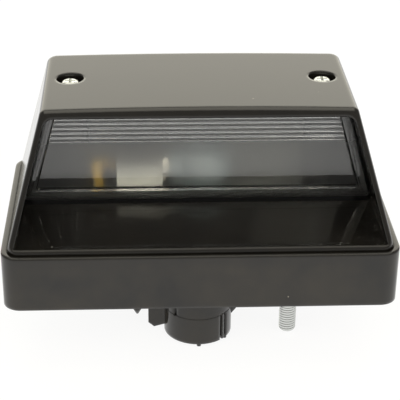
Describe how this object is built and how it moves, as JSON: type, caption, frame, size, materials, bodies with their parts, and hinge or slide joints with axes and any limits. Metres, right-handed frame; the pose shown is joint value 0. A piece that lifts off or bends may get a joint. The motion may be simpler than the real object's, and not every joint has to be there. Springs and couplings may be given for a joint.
{
  "type": "number plate lamp",
  "caption": "Black number plate lamp: low base, leaning hood with a sloped open mouth, clear lens set back, bulb inside, threaded studs and a round plug socket below.",
  "frame": {"origin": "middle of the two mounting studs, on the flat mounting face under the base", "axes": "+Z out of the mounting face towards the roof, +X along the lamp, the sloped mouth looks to -Y"},
  "size_m": [0.11, 0.063, 0.073],
  "materials": {
    "black_abs": "satin",
    "clear_acrylic": "polished",
    "seal_rubber": "matt",
    "zinc_steel": "zinc plated",
    "brass": "bright",
    "nickel_brass": "nickel plated",
    "silver_reflector": "metallised, satin",
    "white_pbt": "satin",
    "grey_pbt": "satin",
    "bulb_glass": "polished",
    "black_glass": "polished",
    "tin_solder": "satin",
    "tungsten": "satin",
    "red_pvc": "satin",
    "brown_pvc": "satin"
  },
  "bodies": {
    "root": {"base": "black_abs", "hood": "black_abs", "lens": "clear_acrylic", "lens_seal": "seal_rubber", "hood_seal": "seal_rubber", "cover_screws": "zinc_steel", "screw_inserts": "brass", "mounting_bolts": "zinc_steel", "connector_core": "grey_pbt", "connector_pins": "brass", "plug_seal": "seal_rubber", "lampholder": "white_pbt", "holder_screws": "zinc_steel", "holder_sleeve": "nickel_brass", "centre_contact": "brass", "contact_rivet": "brass", "bulb_glass": "bulb_glass", "bulb_cap": "nickel_brass", "bulb_insulator": "black_glass", "bulb_foot": "tin_solder", "bulb_stem": "bulb_glass", "bulb_supports": "tungsten", "bulb_filament": "tungsten", "reflector": "silver_reflector", "lead_live": "red_pvc", "lead_earth": "brown_pvc"}
  },
  "joints": []
}
